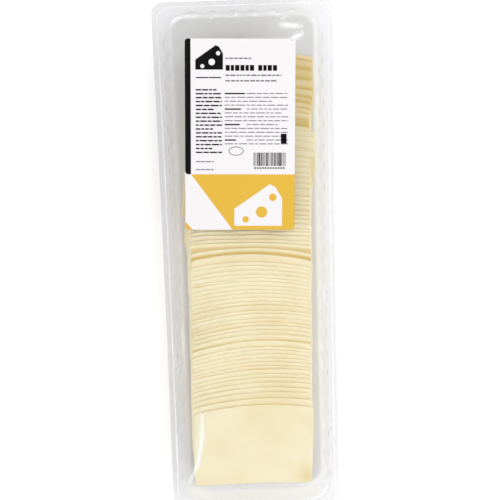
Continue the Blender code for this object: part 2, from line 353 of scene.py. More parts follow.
def tray_surface(group):
    """The whole tray as rings: the inner section out to the lip, then the outer one back to the middle."""
    foot = FLANGE + DRAFT
    inner = tray_path(group.wall)
    outer = offset_path(inner, -group.wall)
    outer[:, 0] = np.minimum(outer[:, 0], PACK_WIDTH / 2.0)
    outer[outer[:, 0] > foot + FLOOR_FILLET, 1] = STAND_OFF
    outer[:, 1] = np.maximum(outer[:, 1], STAND_OFF)
    lip = np.array([[0.0, RIM_HEIGHT - 0.2 * group.wall], [0.0, RIM_HEIGHT - 0.8 * group.wall]])
    path = np.vstack([inner, lip, outer[::-1]])
    inset, height = path[:, 0], path[:, 1]
    up = np.clip(height / RIM_HEIGHT, 0.0, 1.0)
    wall_radius = FLOOR_RADIUS + (MOUTH_RADIUS - FLOOR_RADIUS) * up
    flange_share = np.clip(inset / FLANGE, 0.0, 1.0)
    flange_radius = LIP_RADIUS + (MOUTH_RADIUS - LIP_RADIUS) * flange_share
    floor_radius = FLOOR_RADIUS - (inset - foot)
    radius = np.where(inset < FLANGE, flange_radius, wall_radius)
    radius = np.where(inset > foot, np.minimum(floor_radius, wall_radius), radius)
    radius = np.clip(radius, 0.0, PACK_WIDTH / 2.0 - inset)
    share = smooth_step(inset, FLANGE - FLANGE_SLOPE_IN, FLANGE)
    share = share * (1.0 - smooth_step(inset, foot - FLUTE_FADE, foot + FLOOR_FILLET))
    share = share * (FLOOR_FLUTE + (1.0 - FLOOR_FLUTE) * up)
    long_flutes = round((PACK_LENGTH - 2.0 * (FLANGE + MOUTH_RADIUS)) / group.flute_pitch)
    short_flutes = round((PACK_WIDTH - 2.0 * (FLANGE + MOUTH_RADIUS)) / group.flute_pitch)
    shares = outline_shares(long_flutes * FLUTE_STEPS, short_flutes * FLUTE_STEPS, 14)
    flutes = np.where(np.abs(shares[1][:, 0]) > 0.5, long_flutes, short_flutes)
    wave = 0.5 * (1.0 - np.cos(2.0 * np.pi * flutes * shares[2]))
    push = group.flute_depth * share[:, None] * wave[None, :]
    return nested_rings(shares, inset, radius, push, height)


def clear_sheet_material(name, tint, roughness, gloss, haze, edge_haze, attribute=None, drawn_tint=None):
    """Thin clear plastic: light goes straight through with a tint, and some of it mirrors off.

    Where a drawn tint is given, it holds at the floor and turns into the tint at the rim, as the sheet
    gets thicker.  Mirror share is Fresnel's times gloss.  A white haze in the sheet is haze, plus edge
    haze times the cube of how far the sheet is turned away, plus the value of a named attribute, which can
    hold painted highlights.
    """
    material, tree, output = new_material(name)
    clear = add_node(tree, "ShaderNodeBsdfTransparent")
    clear.inputs["Color"].default_value = (*tint, 1.0)
    if drawn_tint is not None:
        place = add_node(tree, "ShaderNodeTexCoord")
        parts = add_node(tree, "ShaderNodeSeparateXYZ", links={0: place.outputs["Object"]})
        height = multiply_add(tree, parts.outputs["Z"], 1.0 / RIM_HEIGHT, 0.0)
        tree.links.new(mix_colours(tree, height, drawn_tint, tint), clear.inputs["Color"])
    mirror = add_node(tree, "ShaderNodeBsdfGlossy", Roughness=roughness)
    mirror.inputs["Color"].default_value = (1.0, 1.0, 1.0, 1.0)
    fresnel = add_node(tree, "ShaderNodeFresnel", IOR=1.5)
    share = multiply_add(tree, fresnel.outputs[0], gloss, 0.0)
    sheet = add_node(tree, "ShaderNodeMixShader", links={0: share, 1: clear.outputs[0], 2: mirror.outputs[0]})
    body = add_node(tree, "ShaderNodeBsdfPrincipled", Roughness=0.4)
    body.inputs["Base Color"].default_value = (0.88, 0.89, 0.89, 1.0)
    away = add_node(tree, "ShaderNodeLayerWeight", Blend=0.5)
    cube = add_node(tree, "ShaderNodeMath", operation="POWER", links={0: away.outputs["Facing"]})
    cube.inputs[1].default_value = 3.0
    amount = multiply_add(tree, cube.outputs[0], edge_haze, haze)
    # The named attribute can hold painted highlights: white put where light would glint off a fold.
    if attribute is not None:
        painted_highlight_and_haze = add_node(tree, "ShaderNodeAttribute", attribute_name=attribute)
        amount = add_node(tree, "ShaderNodeMath", operation="ADD", use_clamp=True,
                          links={0: painted_highlight_and_haze.outputs["Fac"], 1: amount}).outputs[0]
    mixed = add_node(tree, "ShaderNodeMixShader", links={0: amount, 1: sheet.outputs[0], 2: body.outputs[0]})
    tree.links.new(mixed.outputs[0], output.inputs["Surface"])
    return material


class CHEESEPACK_OT_tray(bpy.types.Operator):
    """Build the thermoformed tray with fluted walls, flange and seal groove"""
    bl_idname = "cheesepack.tray"
    bl_label = "Build Tray"

    def execute(self, context):
        group = settings("cheesepack_tray")
        rings = tray_surface(group)
        # Thermoformed clear polyester sheet: hard gloss, greyer and more mirror-like on the upright walls.
        material = clear_sheet_material("thermoformed_clear_polyester", tuple(group.colour), roughness=0.12,
                                        gloss=0.14, haze=0.03, edge_haze=0.09, drawn_tint=linear("#F8F8F8"))
        count, size = rings.shape[:2]
        item = make_mesh("tray_shell", rings.reshape(-1, 3), band_quads(count, size), material)
        close_up(item)
        place_piece(item, "tray")
        return {"FINISHED"}


# ---- Lid film -------------------------------------------------------------------------------
BEAD_REACH = 0.7 * MM
BEAD_HAZE = 0.2              # how white the bead looks
FILM_LIFT = 0.02 * MM        # the film lies this far over the flange
RIPPLE_HEIGHT = 0.1 * MM     # the free film's slack
ROUTE_STEPS = 60             # places worked out along a fold
FADE_POWER = 0.8             # below 1, a fold keeps its strength nearer to its ends
# Tension folds, in millimetres: a route across the film, its reach, how far it stands up, how white it is.
# The whiteness is partly crease haze and partly painted highlight, white put where light glints off a fold.
FOLDS = (
    ([(-42.9, -118), (-43.3, -135), (-44.2, -148), (-47.8, -166), (-52.5, -178), (-58, -187)],
     2.1, 0.25, 0.6),
    ([(28, 191), (36, 190.2), (48, 188.8)], 2.0, 0.35, 0.8),
    ([(30.5, 196), (34, 196.2)], 1.0, 0.25, 0.6),
    ([(-60, 190), (-56.5, 195), (-50, 198), (-42, 199.4), (-34, 199.6)], 0.8, 0.2, 0.5),
    ([(-30, 199.2), (-24.7, 198.2), (-19, 199.6)], 0.7, 0.15, 0.45),
    ([(-13, 199.4), (-8.1, 198.4), (-3, 199.8)], 0.7, 0.15, 0.45),
    ([(4, 199.6), (8.5, 198.7), (13, 200), (20, 200.4)], 0.7, 0.15, 0.45),
    ([(21, 200), (25.9, 198.8), (31, 200.2), (44, 201)], 0.7, 0.2, 0.5),
    ([(36, 177.6), (42, 180.8), (48.5, 184)], 2.2, 0.35, 0.8),
    ([(63.2, -176), (62.6, -184), (60, -191), (55, -198), (46, -201.5), (38, -202.2)], 1.3, 0.3, 0.85),
    ([(60.5, -21), (61.5, -30), (62, -38)], 2.0, 0.15, 0.5),
    ([(63.8, -110), (63.4, -140), (62.6, -176)], 0.7, 0.2, 0.45),
    ([(66.4, -138), (67.2, -178)], 0.6, 0.15, 0.35),
    ([(-55.8, -42), (-56.8, -70), (-57.8, -98)], 0.7, 0.2, 0.35),
    ([(-65.6, -62), (-63.8, -78), (-61, -98)], 0.8, 0.2, 0.45),
    ([(-64.6, -130), (-64.8, -178)], 0.8, 0.15, 0.4),
)


def smooth_route(points, steps):
    """A curve through a route's points: each stretch blends its two neighbours' tangents (Catmull-Rom)."""
    padded = np.vstack([2 * points[0] - points[1], points, 2 * points[-1] - points[-2]])
    place = np.linspace(0.0, len(points) - 1.0, steps)
    index = np.minimum(place.astype(int), len(points) - 2)
    t = (place - index)[:, None]
    a, b, c, d = (padded[index + k] for k in range(4))
    return 0.5 * (2 * b + (c - a) * t + (2 * a - 5 * b + 4 * c - d) * t ** 2
                  + (3 * b - a - 3 * c + d) * t ** 3)


def fold_relief(x, y):
    """Height and whiteness of all folds at places on the film; the whiteness is crease haze and a painted
    highlight.

    Each fold is a bell curve across its route that dies away at both ends.
    """
    height = np.zeros_like(x)
    haze = np.zeros_like(x)
    for points, reach, rise, white in FOLDS:
        route = smooth_route(np.array(points) * MM, ROUTE_STEPS)
        near = np.full(x.shape, np.inf)
        place = np.zeros_like(x)
        for k, point in enumerate(route):
            distance = np.hypot(x - point[0], y - point[1])
            closer = distance < near
            near = np.where(closer, distance, near)
            place = np.where(closer, k / (ROUTE_STEPS - 1.0), place)
        bell = np.exp(-(near / (reach * MM)) ** 2)
        fade = np.clip(np.sin(np.pi * place), 0.0, 1.0) ** FADE_POWER
        height += rise * MM * bell * fade
        haze += white * bell ** 2 * fade
    return height, haze


def film_surface(group):
    """The film as rings from its outer edge to the middle line, over and under, with bead and folds."""
    near_edge = np.concatenate([[0.3, 0.8, 1.6, 2.4], np.linspace(2.9, 5.1, 12), [5.8, 6.8, 8.0, 9.0]]) * MM
    inner = np.linspace(10.0 * MM, PACK_WIDTH / 2.0, 38)
    inset = np.concatenate([near_edge, inner])
    radius = np.clip(LIP_RADIUS + 0.5 * inset, 0.0, PACK_WIDTH / 2.0 - inset)
    shares = outline_shares(300, 92, 14)
    flat = nested_rings(shares, inset, radius, 0.0, np.zeros(len(inset)))
    x, y = flat[..., 0], flat[..., 1]
    height, haze = fold_relief(x, y)
    bead = np.exp(-((inset - SEAL_INSET) / BEAD_REACH) ** 2)[:, None]
    ripple = RIPPLE_HEIGHT * np.sin(x / (9.0 * MM) + 1.3 * np.sin(y / (31.0 * MM))) * np.sin(y / (23.0 * MM))
    free = smooth_step(inset, FLANGE, FLANGE + 8.0 * MM)[:, None] * (1.0 - label_cover(x, y))
    under = RIM_HEIGHT + FILM_LIFT + group.bead_height * bead + height + ripple * free
    low = np.stack([x, y, under], axis=-1)
    high = np.stack([x, y, under + group.thickness], axis=-1)
    points = np.concatenate([low[::-1], high], axis=0)
    # The folds' whiteness is partly painted highlight; the bead adds its own white.
    haze = haze + BEAD_HAZE * bead
    white = np.concatenate([haze[::-1], haze], axis=0)
    return points, white


def label_cover(x, y):
    """1 under the label and 0 away from it, with a soft edge."""
    turned_x, turned_y = turn(x - LABEL_CENTRE[0], y - LABEL_CENTRE[1], -LABEL_TURN)
    edge = 5.0 * MM
    over_x = smooth_step(LABEL_SIZE[0] / 2.0 - np.abs(turned_x), -edge, 0.0)
    over_y = smooth_step(LABEL_SIZE[1] / 2.0 - np.abs(turned_y), -edge, 0.0)
    return over_x * over_y


def turn(x, y, angle):
    """Turn flat coordinates by an angle."""
    return x * np.cos(angle) - y * np.sin(angle), x * np.sin(angle) + y * np.cos(angle)


class CHEESEPACK_OT_film(bpy.types.Operator):
    """Build the lid film with its sealed bead and tension folds"""
    bl_idname = "cheesepack.film"
    bl_label = "Build Lid Film"

    def execute(self, context):
        group = settings("cheesepack_film")
        points, haze = film_surface(group)
        # Heat-sealed polyester lidding film: clear and glossy; its creases and bead are white, partly crease
        # haze and partly painted highlight.
        material = clear_sheet_material("heat_sealed_lidding_film", tuple(group.colour), roughness=0.06,
                                        gloss=0.75, haze=0.01, edge_haze=0.2, attribute="painted_highlight_and_haze")
        count, size = points.shape[:2]
        item = make_mesh("lid_film_sheet", points.reshape(-1, 3), band_quads(count, size), material,
                         {"painted_highlight_and_haze": haze})
        close_up(item)
        place_piece(item, "lid_film")
        return {"FINISHED"}


# ---- Label ----------------------------------------------------------------------------------
LABEL_LIFT = 0.04 * MM
LABEL_THICKNESS = 0.12 * MM
PRINT_THICKNESS = 0.03 * MM
PRINT_LIFT = 0.02 * MM
PRINT_EDGE = 4.6             # millimetres from the label's left edge to the print's
GOLD_TOP = 108.4             # millimetres from the label's top to the gold field
MOTTLE = 0.04                # how much lighter or darker the ink is in places
WHITE_HOLES = ((21.5, 18.5, 2.6), (26.6, 11.6, 1.7), (14.0, 21.8, 1.6))
GOLD_HOLES = ((61.5, 139.0, 4.6), (70.5, 127.0, 3.0), (48.6, 145.0, 2.6))


def label_base():
    """Height of the label's underside: on the film's flat part."""
    return RIM_HEIGHT + FILM_LIFT + settings("cheesepack_film").thickness + LABEL_LIFT


def on_pack(points):
    """Label places, in metres right of and below its upper left corner, as places on the pack."""
    points = np.asarray(points, dtype=float)
    x = points[:, 0] - LABEL_SIZE[0] / 2.0
    y = LABEL_SIZE[1] / 2.0 - points[:, 1]
    x, y = turn(x, y, LABEL_TURN)
    return np.column_stack([x + LABEL_CENTRE[0], y + LABEL_CENTRE[1]])


def box_outline(left, top, right, bottom):
    """Corners of an upright rectangle on the label, in millimetres."""
    return np.array([(left, top), (left, bottom), (right, bottom), (right, top)], dtype=float)


def round_box_outline(left, top, right, bottom, radius, steps=6):
    """A rectangle whose corners are quarter circles, in millimetres."""
    angle = np.linspace(0.0, np.pi / 2.0, steps)
    corners = ((right - radius, bottom - radius, 0), (left + radius, bottom - radius, 1),
               (left + radius, top + radius, 2), (right - radius, top + radius, 3))
    arcs = [np.column_stack([x + radius * np.cos(angle + k * np.pi / 2.0),
                             y + radius * np.sin(angle + k * np.pi / 2.0)]) for x, y, k in corners]
    return np.vstack(arcs)


def circle_outline(x, y, radius_x, radius_y=None, steps=28):
    """A circle or ellipse round a place on the label, in millimetres."""
    angle = np.linspace(0.0, 2.0 * np.pi, steps, endpoint=False)
    radius_y = radius_x if radius_y is None else radius_y
    return np.column_stack([x + radius_x * np.cos(angle), y + radius_y * np.sin(angle)])


def make_plates(name, outlines, lift, thickness, material):
    """Thin flat plates, each an outline carried straight up, joined into one piece."""
    points = []
    faces = []
    for outline in outlines:
        flat = on_pack(outline * MM)
        size = len(flat)
        start = len(points)
        points += [(x, y, lift) for x, y in flat] + [(x, y, lift + thickness) for x, y in flat]
        faces.append([start + k for k in range(size)])
        faces.append([start + size + k for k in range(size)])
        faces += [[start + k, start + (k + 1) % size, start + size + (k + 1) % size, start + size + k]
                  for k in range(size)]
    mesh = bpy.data.meshes.new(name)
    mesh.from_pydata(points, [], faces)
    mesh.materials.append(material)
    item = bpy.data.objects.new(name, mesh)
    bpy.context.scene.collection.objects.link(item)
    close_up(item, 1e-8)
    return item


def text_row(left, right, y, height, rng, word=(3.0, 9.0), gap=0.9):
    """One line of small print as a row of word-long dashes."""
    rows = []
    place = left
    while place < right - 0.6:
        length = min(rng.uniform(*word), right - place)
        rows.append(box_outline(place, y - height / 2.0, place + length, y + height / 2.0))
        place += length + gap
    return rows


def print_material(name, colour, roughness):
    """Flexographic ink on coated paper: even colour with a faint mottle, and the paper's soft gloss."""
    material, tree, output = new_material(name)
    place = add_node(tree, "ShaderNodeTexCoord")
    mottle = add_node(tree, "ShaderNodeTexNoise", Scale=900.0, Detail=3.0,
                      links={"Vector": place.outputs["Object"]})
    mixed = mix_colours(tree, mottle.outputs[0], [value * (1.0 - MOTTLE) for value in colour],
                        [min(1.0, value * (1.0 + MOTTLE)) for value in colour])
    ink = add_node(tree, "ShaderNodeBsdfPrincipled", Roughness=roughness, links={"Base Color": mixed})
    ink.inputs["Specular IOR Level"].default_value = 0.1
    tree.links.new(ink.outputs[0], output.inputs["Surface"])
    return material


def small_print():
    """Dark and light rows of dashes where the label has small print, in millimetres."""
    rng = np.random.default_rng(11)
    dark = []
    light = []
    for k in range(17):
        end = 29.6 if k % 5 else 29.6 - rng.uniform(3, 9)
        dark += text_row(8.6, end, 40.6 + 3.13 * k, 1.15, rng, (2.2, 6.5), 0.8)
    dark += text_row(8.8, 29.2, 30.9, 0.9, rng, (8.0, 14.0), 0.6)
    for k in range(4):
        dark.append(box_outline(31.8, 43.0 + 12.4 * k, 31.8 + (16, 13, 12, 9)[k], 44.1 + 12.4 * k))
    for k in range(14):
        start = 31.8 + (17.5 if k % 4 == 0 else 0.0)
        end = 82.5 - rng.uniform(0, 14) * (k % 3 == 2)
        light += text_row(start, end, 43.5 + 3.1 * k, 0.75, rng, (2.0, 7.5), 1.0)
    for y, end in ((15.6, 54.0), (29.0, 77.0), (33.4, 74.0)):
        light += text_row(32.4, end, y, 1.15, rng, (1.6, 4.5), 0.8)
    for y in (98.2, 104.6):
        light += text_row(8.6, 23.0, y, 0.9, rng, (3.0, 6.0), 0.7)
    return dark, light


def title_row():
    """Bold blocks in place of a title: two words of letter-wide blocks."""
    blocks = []
    place = 32.6
    for letters in (6, 4):
        for k in range(letters):
            width = (3.2, 2.6, 3.4)[k % 3]
            blocks.append(box_outline(place, 20.9, place + width, 25.4))
            place += width + 0.85
        place += 2.4
    return blocks


def stripe_code():
    """Upright stripes of uneven width in place of a scanning code, with a row of short dashes below."""
    rng = np.random.default_rng(5)
    stripes = []
    place = 55.0
    while place < 80.6:
        width = rng.choice([0.34, 0.34, 0.68, 1.0])
        stripes.append(box_outline(place, 90.8, place + width, 101.6))
        place += width + rng.choice([0.34, 0.34, 0.68])
    for k in range(12):
        stripes.append(box_outline(55.6 + 2.1 * k, 102.6, 56.8 + 2.1 * k, 104.0))
    return stripes


def ring_plates(x, y, radius_x, radius_y, width):
    """An oval line as short straight plates set end to end."""
    outer = circle_outline(x, y, radius_x, radius_y, 32)
    inner = circle_outline(x, y, radius_x - width, radius_y - width, 32)
    return [np.array([outer[k], outer[(k + 1) % 32], inner[(k + 1) % 32], inner[k]]) for k in range(32)]


def wedge_mark(left, top, size):
    """A plain wedge of cheese seen from the side: a long top, a blunt rind and a point."""
    shape = np.array([(0.0, 0.62), (0.0, 0.98), (1.0, 0.98), (1.0, 0.40), (0.86, 0.16), (0.74, 0.10)])
    return shape * size + np.array([left, top])


class CHEESEPACK_OT_label(bpy.types.Operator):
    """Build the paper label and its plain print"""
    bl_idname = "cheesepack.label"
    bl_label = "Build Label"

    def execute(self, context):
        group = settings("cheesepack_label")
        wide, tall = LABEL_SIZE[0] / MM, LABEL_SIZE[1] / MM
        base = label_base()
        face = base + LABEL_THICKNESS + PRINT_LIFT
        over = face + PRINT_THICKNESS + PRINT_LIFT
        # Coated, self-adhesive label paper: smooth and white with a soft sheen.
        paper = print_material("coated_label_paper", tuple(group.paper), 0.38)
        # Solid black flexographic ink: dense, a little glossier than the paper.
        ink = print_material("black_flexo_ink", tuple(group.ink), 0.3)
        # Fine black print whose thin strokes read as grey from here.
        text = print_material("fine_grey_print", tuple(group.text), 0.4)
        # Gold-yellow flexographic ink: flat and warm.
        gold = print_material("gold_flexo_ink", tuple(group.gold), 0.36)
        sheet = make_plates("label_sheet", [round_box_outline(0, 0, wide, tall, LABEL_RADIUS / MM)],
                            base, LABEL_THICKNESS, paper)
        dark, light = small_print()
        band = round_box_outline(0, 0, 9, GOLD_TOP, LABEL_RADIUS / MM)
        band[:, 0] = np.minimum(band[:, 0], PRINT_EDGE)
        black = [band, wedge_mark(8.4, 3.0, 22.0), box_outline(76.8, 75.6, 81.4, 83.6)]
        black += title_row() + stripe_code() + ring_plates(40.9, 89.6, 6.0, 3.6, 0.5)
        field = [(PRINT_EDGE, GOLD_TOP), (0.0, GOLD_TOP), (0.0, tall - 2.5), (0.7, tall - 0.7),
                 (2.5, tall), (wide - 2.5, tall), (wide - 0.7, tall - 0.7), (wide, tall - 2.5),
                 (wide, GOLD_TOP)]
        slope = [(0.0, GOLD_TOP), (PRINT_EDGE, GOLD_TOP), (38.0, tall), (5.6, tall), (0.0, tall - 6.6)]
        white_holes = [circle_outline(*hole) for hole in WHITE_HOLES]
        gold_holes = [circle_outline(*hole) for hole in GOLD_HOLES]
        prints = (
            ("print_black", black, face, ink),
            ("print_dark_rows", dark, face, ink),
            ("print_grey_rows", light, face, text),
            ("print_gold_field", [np.array(field)], face, gold),
            ("print_white_shapes", [np.array(slope), wedge_mark(39.5, 112.5, 38.5)], over, paper),
            ("print_holes_white", white_holes, over, paper),
            ("print_holes_gold", gold_holes, over + PRINT_THICKNESS + PRINT_LIFT, gold),
        )
        place_piece(sheet, "label")
        for name, outlines, lift, material in prints:
            piece = make_plates(name, outlines, lift, PRINT_THICKNESS, material)
            place_piece(piece, None)
        return {"FINISHED"}


# ---- Cheese slices --------------------------------------------------------------------------
FIRST_EDGE = 169.0 * MM
# How far each slice's upper edge lies below the one before, in millimetres.
STEPS = (4.6, 7.8, 8.4, 7.6, 6.0, 4.9, 4.1, 4.3, 4.5, 6.1, 4.2, 4.5, 4.1, 6.0, 1.7, 4.8, 4.0, 4.2, 5.2, 3.1,
         4.8, 4.6, 6.4, 3.6, 3.4, 4.5, 3.4, 2.7, 3.4, 4.4, 2.4, 3.2, 3.6, 2.9, 4.2, 5.3, 6.6, 3.0, 3.8, 3.5,
         3.3, 2.5, 3.5, 3.2, 2.9, 3.3, 3.6, 2.9, 4.5, 2.8, 3.5, 3.5, 3.1, 3.3, 3.8, 5.5, 5.4, 2.7, 3.4, 3.3,
         3.2, 3.2, 2.9, 4.1, 3.0, 3.9, 4.2, 3.8, 5.3, 5.5)
COUNT = len(STEPS) + 1
LAST_SLOPE = 0.29            # the last slice's slope, in radians
FLATTEN_COUNT = 9            # over this many slices the slope turns into the last one's
FAN_BOTTOM = 0.9 * MM        # height of the lowest slices' underside
# Along the fan, in millimetres: place, how far an edge's ends fall back, how much further forward its right
# end lies, where its middle lies across the pack, and how far the slice's foot swings to the left.
FAN_BOW = ((170.0, 6.0, 0.3, 7.4, 7.5), (145.0, 6.0, 0.3, 7.2, 8.0), (132.0, 5.5, 0.3, 4.9, 6.5),
           (118.0, 5.0, 0.2, 2.8, 5.0), (107.0, 4.6, 0.0, 2.8, 10.5), (90.0, 3.8, 0.0, 3.0, 10.0),
           (85.0, 3.8, 0.0, 3.0, 7.0), (66.0, 3.0, 0.0, 3.0, 5.4), (50.0, 1.8, -0.5, 2.2, 4.4),
           (28.0, 2.4, -1.6, 1.7, 4.0), (15.6, 2.6, -2.1, 1.4, 3.6), (11.6, 6.0, -1.6, 1.3, 3.4),
           (6.3, 7.0, -2.0, 1.2, 3.0), (-4.0, 5.8, -1.1, 0.9, 2.8), (-20.0, 6.3, 0.0, 0.3, 2.6),
           (-45.0, 7.3, 2.2, 0.3, 2.6), (-63.0, 7.8, 2.6, -0.2, 2.4), (-76.0, 6.9, 2.8, -0.7, 2.0),
           (-93.0, 5.7, 3.4, -1.2, 1.6), (-109.0, 5.8, 3.2, -1.6, 1.2), (-120.0, 6.1, 2.0, -1.0, 1.6))
SHIFTED = (11, 15)           # from the first to the second of these, slices lie further to the right
SHIFT = 4.4 * MM
CORNER = 3.2 * MM            # a slice's rounded corners
RIM_ROUND = 0.8 * MM         # how much a cut edge is rounded
# A cut edge's rounding, from the upper face down: inset, and depth under the face, in parts of RIM_ROUND.
RIM_LAYERS = ((1.0, 0.0), (0.4, 0.12), (0.1, 0.5), (0.0, 1.1))
RIM_SHADE = (0.0, 0.06, 0.16)     # painted shade: how much deeper in colour the cut edge's lower layers are
UNDER_SHADE = 0.3                 # painted shade: depth of colour of a slice's underside
CONTACT = 0.06 * MM          # air between a slice and the next
BOW_FADE = 0.88              # how much of an edge's bow is gone at the slice's foot
RIPPLE_WAVES = (3.1, 7.3)    # the two waves of an edge's ripple, in radians per half width
DROOP_REACH = 16.0 * MM      # a slice's upper end bends down to the one before over this length
HANG = 0.65                  # how much of its height over the floor a slice's foot hangs down
HANG_REACH = 0.25            # and how much further along the pack it then lies
# Depth of colour is painted shade: it runs from 0, a fresh cut face in full light, to 1, the shade in a
# groove.  What follows is added up for each strip.
STRIP_FOOT_SHADE = 0.12            # more painted shade at the foot of every strip, towards its groove
GROOVE_SHADE_REACH = 1.5 * MM        # length of the painted groove shade at the very foot of a strip
# How deep that painted groove shade is on single strips.  Elsewhere it is the usual value, or the middle
# value in MIDDLE_STRIPS.
GROOVE_SHADE = {0: 0.5, 1: 0.8, 2: 0.8, 3: 0.6, 4: 0.5, 5: 0.5, 6: 0.4, 7: 0.4, 8: 0.3, 9: 0.4, 10: 0.25, 13: 0.4,
        14: 0.5, 22: 0.25, 26: 0.25, 34: 0.6, 35: 1.2, 47: 0.4, 52: 0.25, 55: 0.5, 56: 0.25, 62: 0.2}
USUAL_GROOVE_SHADE = 0.1
MIDDLE_GROOVE_SHADE = 0.28
MIDDLE_STRIPS = (14, 33)
# Whole strips with painted shade, deeper in colour: those at the labelled end, where less light falls, those
# past it, and single ones.
END_SHADE = 0.38
PAST_END_SHADE = 0.12
SHADED_SLICES = {1: 0.1, 2: 0.15, 5: 0.1, 9: 0.5}
LAST_SHADE = 0.05
USUAL_STEP = 3.6 * MM        # a strip this long has no painted shade of its own, longer ones, with deeper grooves, are painted deeper
# A patch of painted shade on a slice: strength, place across from -1 to 1, and share of the way down.
SHADE_SPOTS = {41: (0.6, -0.85, 0.03), COUNT - 1: (0.3, 0.88, 0.9)}
SHADE_SPOT_SPREAD = (0.03, 0.012)  # squares of a patch's reach across and down, in the same measures


def fan_slices(group):
    """Upper edge, its height and slope of each slice.

    A slice's foot is on the floor and its upper edge stands on all the slices that reach under it, so the
    fan climbs from flat to a slope whose sine is thickness over step; the last ones lie flatter.
    """
    edges = FIRST_EDGE - np.concatenate([[0.0], np.cumsum(STEPS)]) * MM
    index = np.arange(COUNT)
    slopes = np.zeros(COUNT)
    for _ in range(6):
        first_under = np.interp(-(edges + group.length * np.cos(slopes)), -edges, index)
        heights = (index - first_under) * group.thickness / np.cos(slopes)
        slopes = np.arcsin(heights / group.length)
    share = smooth_step(index, COUNT - 1 - FLATTEN_COUNT, COUNT - 1)
    return edges, heights, slopes + (LAST_SLOPE - slopes) * share


def slice_surface(group, down, columns, inset):
    """Flat slice before it is laid: sideways place and place down the slice for every grid point.

    Half width is the slice's, less what the corner circle and a slight belly take off.
    """
    length = group.length
    across = np.linspace(-1.0, 1.0, columns)
    across = 0.45 * np.sin(across * np.pi / 2.0) + 0.55 * across
    near = np.clip(np.minimum(down, length - down), 0.0, CORNER)
    cut = CORNER - np.sqrt(np.maximum(CORNER ** 2 - (CORNER - near) ** 2, 0.0))
    belly = 0.5 * MM * (2.0 * down / length - 1.0) ** 2
    half = group.width / 2.0 - cut - belly - inset
    x = half[:, None] * across[None, :]
    y = np.broadcast_to(np.clip(down, inset, length - inset)[:, None], x.shape)
    return x, y


def lay_slice(x, down, lift, place):
    """Lay a flat slice: bow and ripple its edge, swing its foot aside, then tip it down its slope.

    The upper end droops to the slice before, and a foot above the floor hangs down by a cubic curve.
    """
    side = x / place["half"]
    along = down / place["length"]
    bow = place["sag"] * side ** 2 - place["tilt"] * side
    ripple = np.sin(place["phase"] + RIPPLE_WAVES[0] * side)
    ripple = place["ripple"] * (ripple + 0.5 * np.sin(2.0 * place["phase"] + RIPPLE_WAVES[1] * side))
    x = x + place["middle"] - place["swing"] * along
    down = down + bow * (1.0 - BOW_FADE * along) + ripple * (1.0 - along)
    droop = place["droop"] * (1.0 - smooth_step(down, 0.0, DROOP_REACH)) + HANG * place["foot"] * along ** 3
    up = place["height"] + lift * np.cos(place["slope"]) - down * np.sin(place["slope"]) - droop
    reach = down * np.cos(place["slope"]) + HANG_REACH * place["foot"] * along ** 2
    y = place["edge"] - reach - lift * np.sin(place["slope"])
    return np.stack([x, y, up + FAN_BOTTOM], axis=-1)


def one_slice(group, place, down, columns):
    """A closed slice: upper face, rounded cut edge and lower face, with its depth of colour, which is painted
    shade.
    """
    thick = group.thickness - CONTACT
    layers = [(inset * RIM_ROUND, thick - depth * RIM_ROUND) for inset, depth in RIM_LAYERS]
    grids = []
    for inset, lift in layers + [(0.0, 0.0)]:
        x, y = slice_surface(group, down, columns, inset)
        grids.append(lay_slice(x, y, np.full_like(x, lift), place).reshape(-1, 3))
    rows = len(down)
    grid = np.arange(rows * columns).reshape(rows, columns)
    loop = np.concatenate([grid[0, :-1], grid[:-1, -1], grid[-1, :0:-1], grid[:0:-1, 0]])
    size = len(loop)
    points = np.vstack([grids[0], grids[1][loop], grids[2][loop], grids[3][loop], grids[4]])
    starts = rows * columns + size * np.arange(4)
    face = sheet_quads(rows, columns)
    chains = (loop, *(start + np.arange(size) for start in starts[:3]), starts[3] + loop)
    bands = [np.column_stack([a, np.roll(a, -1), np.roll(b, -1), b]) for a, b in zip(chains[:-1], chains[1:])]
    quads = np.vstack([face] + bands + [face[:, ::-1] + starts[3]])
    # Painted shade: the colour deepens down each strip towards its groove and at its very foot, on the cut
    # edge and on the underside.
    share = np.clip(down / place["shown"], 0.0, 1.0)
    foot = np.clip(place["shown"] - down, 0.0, None) / (GROOVE_SHADE_REACH * (0.8 + 0.6 * place["gold"]))
    face_shade = place["painted_shade_and_drift"] + STRIP_FOOT_SHADE * share ** 2 + place["gold"] * np.exp(-foot ** 2)
    side = np.linspace(-1.0, 1.0, columns)[None, :]
    strength, aside, along = place["spot"]
    spot = np.exp(-(side - aside) ** 2 / SHADE_SPOT_SPREAD[0]
                  - (down[:, None] / group.length - along) ** 2 / SHADE_SPOT_SPREAD[1])
    face_shade = face_shade[:, None] + strength * spot
    rims = [np.full(size, place["painted_shade_and_drift"] + more) for more in RIM_SHADE]
    gold = np.concatenate([face_shade.ravel(), *rims, np.full(rows * columns, UNDER_SHADE)])
    return points, quads, gold


def slice_droops(group, edges, heights, slopes):
    """How far each slice's upper edge bends down, or is held up, to lie on the face of the one before."""
    droops = np.zeros(COUNT)
    for k in range(1, COUNT):
        step = edges[k - 1] - edges[k]
        slope = slopes[k - 1]
        before = droops[k - 1] * (1.0 - smooth_step(step, 0.0, DROOP_REACH))
        face = heights[k - 1] - step * np.tan(slope) + group.thickness / np.cos(slope) - before
        droops[k] = heights[k] - face
    return droops


